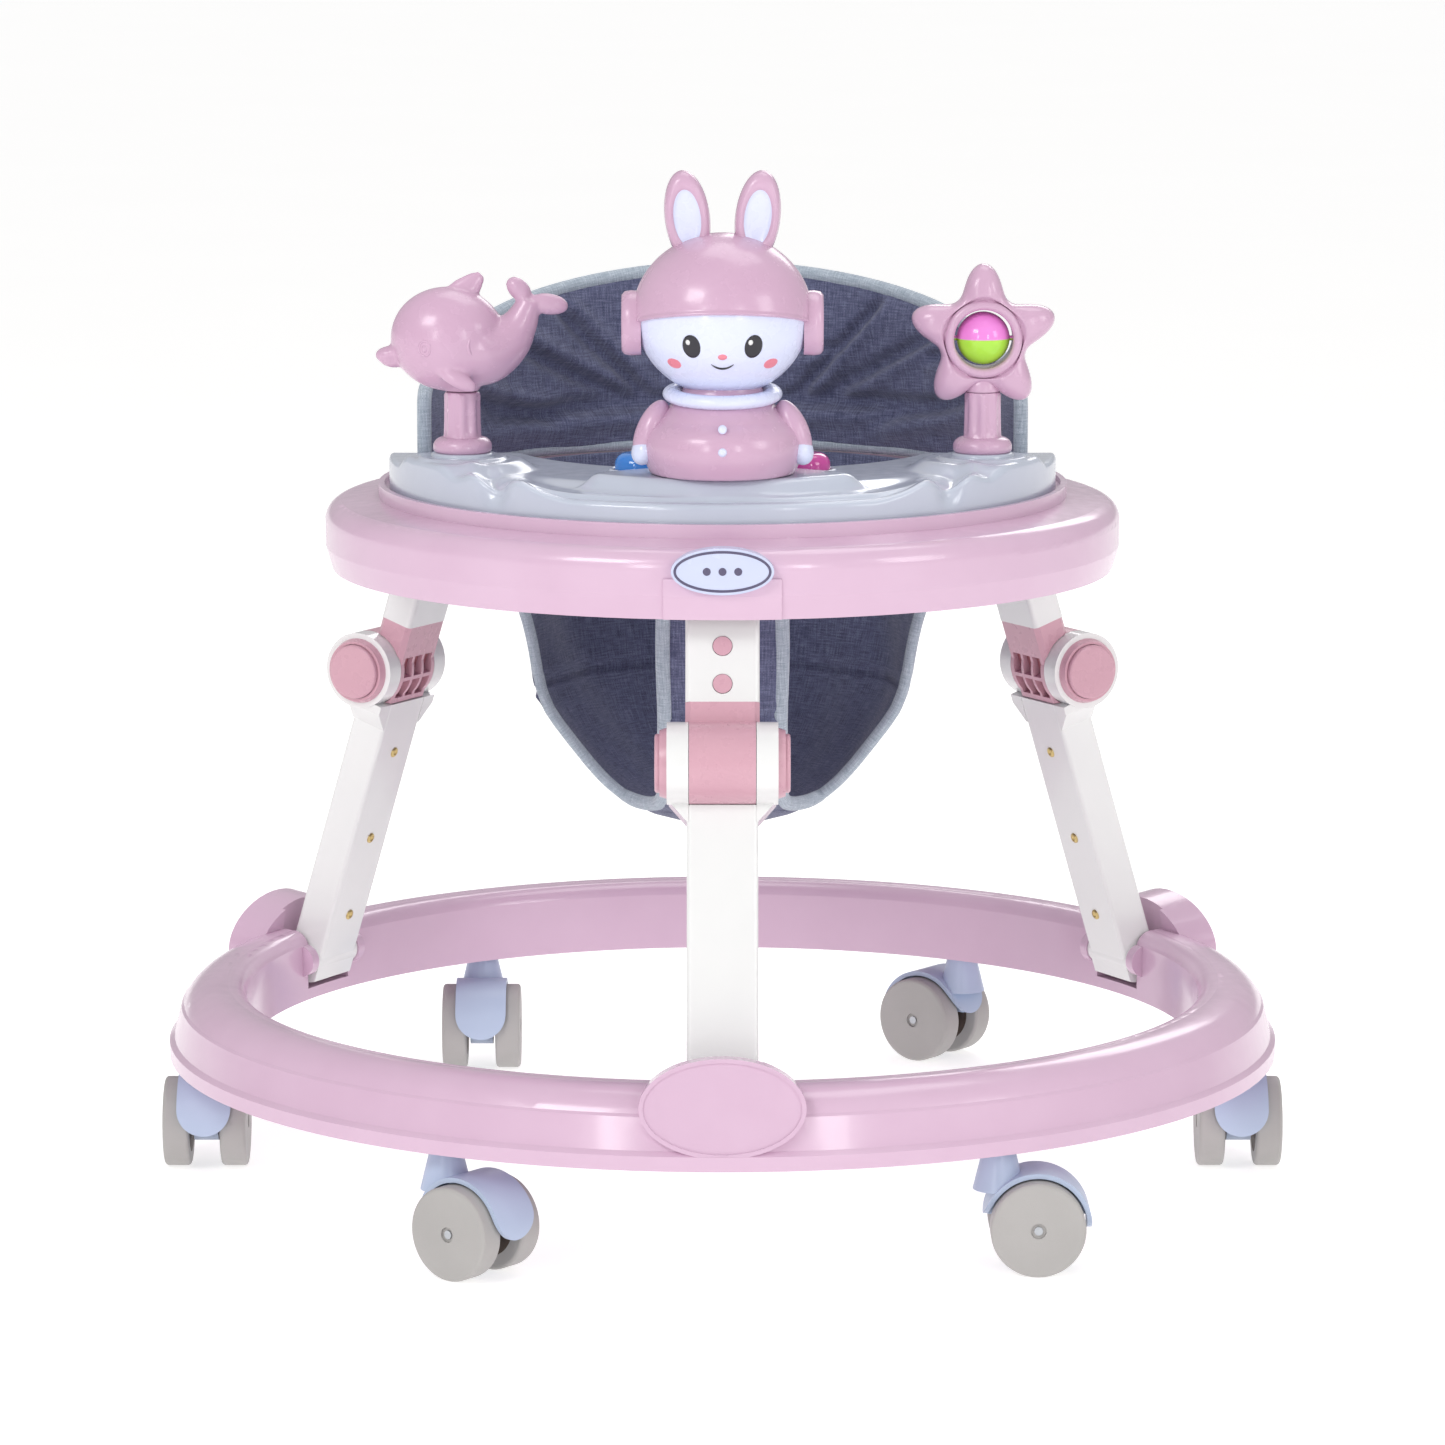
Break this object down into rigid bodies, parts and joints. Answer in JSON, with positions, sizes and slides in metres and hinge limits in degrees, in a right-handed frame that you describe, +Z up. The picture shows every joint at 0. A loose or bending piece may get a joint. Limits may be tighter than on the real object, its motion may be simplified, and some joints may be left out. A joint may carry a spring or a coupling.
{
  "type": "baby walker",
  "caption": "Round folding baby walker: castered base ring, hinged legs, tray ring with toy tray, cloth seat sling and padded backrest.",
  "frame": {"origin": "on the floor under the middle of the base ring", "axes": "+Z up, -Y towards the front with the toy tray, +X to the right seen from the front"},
  "size_m": [0.687, 0.682, 0.6238],
  "materials": {
    "pink_shell": "gloss moulded",
    "rose_hinge": "satin moulded",
    "white_leg": "satin moulded",
    "grey_tray": "gloss moulded",
    "hood_blue": "gloss moulded",
    "wheel_grey": "matt moulded",
    "steel": "plated",
    "toy_pink": "gloss moulded",
    "ball_colour": "gloss moulded",
    "button_blue": "gloss moulded",
    "button_magenta": "gloss moulded",
    "badge_plate": "gloss printed, blank",
    "pad_linen": "heather woven"
  },
  "bodies": {
    "base": {"base_shell": "pink_shell", "base_cover": "pink_shell", "base_screws": "steel", "caster_stems": "steel", "foot_pins": "steel"},
    "caster_front_left": {"caster_front_left_hood": "hood_blue"},
    "wheels_front_left": {"caster_front_left_wheels": "wheel_grey", "caster_front_left_axle": "steel"},
    "caster_front_right": {"caster_front_right_hood": "hood_blue"},
    "wheels_front_right": {"caster_front_right_wheels": "wheel_grey", "caster_front_right_axle": "steel"},
    "caster_side_right": {"caster_side_right_hood": "hood_blue"},
    "wheels_side_right": {"caster_side_right_wheels": "wheel_grey", "caster_side_right_axle": "steel"},
    "caster_side_left": {"caster_side_left_hood": "hood_blue"},
    "wheels_side_left": {"caster_side_left_wheels": "wheel_grey", "caster_side_left_axle": "steel"},
    "caster_rear_right": {"caster_rear_right_hood": "hood_blue"},
    "wheels_rear_right": {"caster_rear_right_wheels": "wheel_grey", "caster_rear_right_axle": "steel"},
    "caster_rear_left": {"caster_rear_left_hood": "hood_blue"},
    "wheels_rear_left": {"caster_rear_left_wheels": "wheel_grey", "caster_rear_left_axle": "steel"},
    "front_lower": {"front_lower_leg": "white_leg", "front_hinge_pin": "steel", "front_bezels": "rose_hinge"},
    "front_upper": {"front_knuckle": "rose_hinge", "front_sleeve": "white_leg"},
    "front_release_1": {"front_button_1": "rose_hinge"},
    "front_release_2": {"front_button_2": "rose_hinge"},
    "right_lower": {"right_lower_leg": "white_leg", "right_hinge_pin": "steel", "right_bezels": "rose_hinge"},
    "right_upper": {"right_knuckle": "rose_hinge", "right_sleeve": "white_leg"},
    "right_release_1": {"right_button_1": "rose_hinge"},
    "right_release_2": {"right_button_2": "rose_hinge"},
    "left_lower": {"left_lower_leg": "white_leg", "left_hinge_pin": "steel", "left_bezels": "rose_hinge"},
    "left_upper": {"left_knuckle": "rose_hinge", "left_sleeve": "white_leg"},
    "left_release_1": {"left_button_1": "rose_hinge"},
    "left_release_2": {"left_button_2": "rose_hinge"},
    "tray": {"tray_ring": "pink_shell", "badge": "badge_plate", "tray_underframe": "pink_shell", "tray_screws": "steel", "tray_pins": "steel", "toy_tray": "grey_tray", "toy_posts": "toy_pink", "rabbit_body": "toy_pink", "rabbit_head": "toy_pink", "backrest_pad": "pad_linen", "seat_sling": "pad_linen"},
    "dolphin": {"dolphin": "toy_pink"},
    "star": {"star_frame": "toy_pink"},
    "ball": {"star_ball": "ball_colour"},
    "music_left": {"music_button_left": "button_blue"},
    "music_right": {"music_button_right": "button_magenta"}
  },
  "joints": [
    {"name": "swivel_front_left", "type": "hinge", "parent": "base", "child": "caster_front_left", "pos_m": [-0.159, -0.2754, 0.06], "axis": [0, 0, 1], "continuous": true},
    {"name": "roll_front_left", "type": "hinge", "parent": "caster_front_left", "child": "wheels_front_left", "pos_m": [-0.14166, -0.28894, 0.0275], "axis": [0.6157, 0.788, 0], "continuous": true},
    {"name": "swivel_front_right", "type": "hinge", "parent": "base", "child": "caster_front_right", "pos_m": [0.159, -0.2754, 0.06], "axis": [0, 0, 1], "continuous": true},
    {"name": "roll_front_right", "type": "hinge", "parent": "caster_front_right", "child": "wheels_front_right", "pos_m": [0.181, -0.2754, 0.0275], "axis": [0, 1, 0], "continuous": true},
    {"name": "swivel_side_right", "type": "hinge", "parent": "base", "child": "caster_side_right", "pos_m": [0.318, 0, 0.06], "axis": [0, 0, 1], "continuous": true},
    {"name": "roll_side_right", "type": "hinge", "parent": "caster_side_right", "child": "wheels_side_right", "pos_m": [0.318, -0.022, 0.0275], "axis": [1, 0, 0], "continuous": true},
    {"name": "swivel_side_left", "type": "hinge", "parent": "base", "child": "caster_side_left", "pos_m": [-0.318, 0, 0.06], "axis": [0, 0, 1], "continuous": true},
    {"name": "roll_side_left", "type": "hinge", "parent": "caster_side_left", "child": "wheels_side_left", "pos_m": [-0.318, -0.022, 0.0275], "axis": [1, 0, 0], "continuous": true},
    {"name": "swivel_rear_right", "type": "hinge", "parent": "base", "child": "caster_rear_right", "pos_m": [0.159, 0.2754, 0.06], "axis": [0, 0, 1], "continuous": true},
    {"name": "roll_rear_right", "type": "hinge", "parent": "caster_rear_right", "child": "wheels_rear_right", "pos_m": [0.14166, 0.28894, 0.0275], "axis": [-0.6157, -0.788, 0], "continuous": true},
    {"name": "swivel_rear_left", "type": "hinge", "parent": "base", "child": "caster_rear_left", "pos_m": [-0.159, 0.2754, 0.06], "axis": [0, 0, 1], "continuous": true},
    {"name": "roll_rear_left", "type": "hinge", "parent": "caster_rear_left", "child": "wheels_rear_left", "pos_m": [-0.159, 0.2534, 0.0275], "axis": [1, 0, 0], "continuous": true},
    {"name": "fold", "type": "hinge", "parent": "base", "child": "front_lower", "pos_m": [0, -0.294, 0.098], "axis": [-1, 0, 0], "range_deg": [0, 60], "deforming": ["seat_sling"]},
    {"name": "knee_front", "type": "hinge", "parent": "front_lower", "child": "front_upper", "pos_m": [0, -0.246, 0.29], "axis": [-1, 0, 0], "range_deg": [-160.1, 0]},
    {"name": "press_front_1", "type": "slide", "parent": "front_lower", "child": "front_release_1", "axis": [-1, 0, 0], "range_m": [0, 0.0035], "stiffness_N_per_m": 1500, "springref_m": -0.0005},
    {"name": "press_front_2", "type": "slide", "parent": "front_lower", "child": "front_release_2", "axis": [1, 0, 0], "range_m": [0, 0.0035], "stiffness_N_per_m": 1500, "springref_m": -0.0005},
    {"name": "foot_right", "type": "hinge", "parent": "base", "child": "right_lower", "pos_m": [0.25461, 0.147, 0.098], "axis": [0.5, -0.866, 0], "range_deg": [0, 60]},
    {"name": "knee_right", "type": "hinge", "parent": "right_lower", "child": "right_upper", "pos_m": [0.21304, 0.123, 0.29], "axis": [0.5, -0.866, 0], "range_deg": [-160.1, 0]},
    {"name": "press_right_1", "type": "slide", "parent": "right_lower", "child": "right_release_1", "axis": [0.5, -0.866, 0], "range_m": [0, 0.0035], "stiffness_N_per_m": 1500, "springref_m": -0.0005},
    {"name": "press_right_2", "type": "slide", "parent": "right_lower", "child": "right_release_2", "axis": [-0.5, 0.866, 0], "range_m": [0, 0.0035], "stiffness_N_per_m": 1500, "springref_m": -0.0005},
    {"name": "foot_left", "type": "hinge", "parent": "base", "child": "left_lower", "pos_m": [-0.25461, 0.147, 0.098], "axis": [0.5, 0.866, 0], "range_deg": [0, 60]},
    {"name": "knee_left", "type": "hinge", "parent": "left_lower", "child": "left_upper", "pos_m": [-0.21304, 0.123, 0.29], "axis": [0.5, 0.866, 0], "range_deg": [-160.1, 0]},
    {"name": "press_left_1", "type": "slide", "parent": "left_lower", "child": "left_release_1", "axis": [0.5, 0.866, 0], "range_m": [0, 0.0035], "stiffness_N_per_m": 1500, "springref_m": -0.0005},
    {"name": "press_left_2", "type": "slide", "parent": "left_lower", "child": "left_release_2", "axis": [-0.5, -0.866, 0], "range_m": [0, 0.0035], "stiffness_N_per_m": 1500, "springref_m": -0.0005},
    {"name": "tray_level", "type": "hinge", "parent": "front_upper", "child": "tray", "pos_m": [0, -0.212, 0.392], "axis": [-1, 0, 0], "range_deg": [0, 100.1]},
    {"name": "dolphin_turn", "type": "hinge", "parent": "tray", "child": "dolphin", "pos_m": [-0.155, -0.08, 0.486], "axis": [0, 0, 1], "continuous": true},
    {"name": "star_turn", "type": "hinge", "parent": "tray", "child": "star", "pos_m": [0.155, -0.08, 0.486], "axis": [0, 0, 1], "continuous": true},
    {"name": "ball_spin", "type": "hinge", "parent": "star", "child": "ball", "pos_m": [0.155, -0.08, 0.518], "axis": [1, 0, 0], "continuous": true},
    {"name": "music_press_left", "type": "slide", "parent": "tray", "child": "music_left", "axis": [0, 0, -1], "range_m": [0, 0.002], "stiffness_N_per_m": 1000, "springref_m": -0.0005},
    {"name": "music_press_right", "type": "slide", "parent": "tray", "child": "music_right", "axis": [0, 0, -1], "range_m": [0, 0.002], "stiffness_N_per_m": 1000, "springref_m": -0.0005}
  ],
  "couplings": [
    {"joint": "knee_front", "follows": "fold", "ratio": -2.665},
    {"joint": "foot_right", "follows": "fold", "ratio": 1},
    {"joint": "knee_right", "follows": "fold", "ratio": -2.665},
    {"joint": "foot_left", "follows": "fold", "ratio": 1},
    {"joint": "knee_left", "follows": "fold", "ratio": -2.665},
    {"joint": "tray_level", "follows": "fold", "ratio": 1.665}
  ]
}
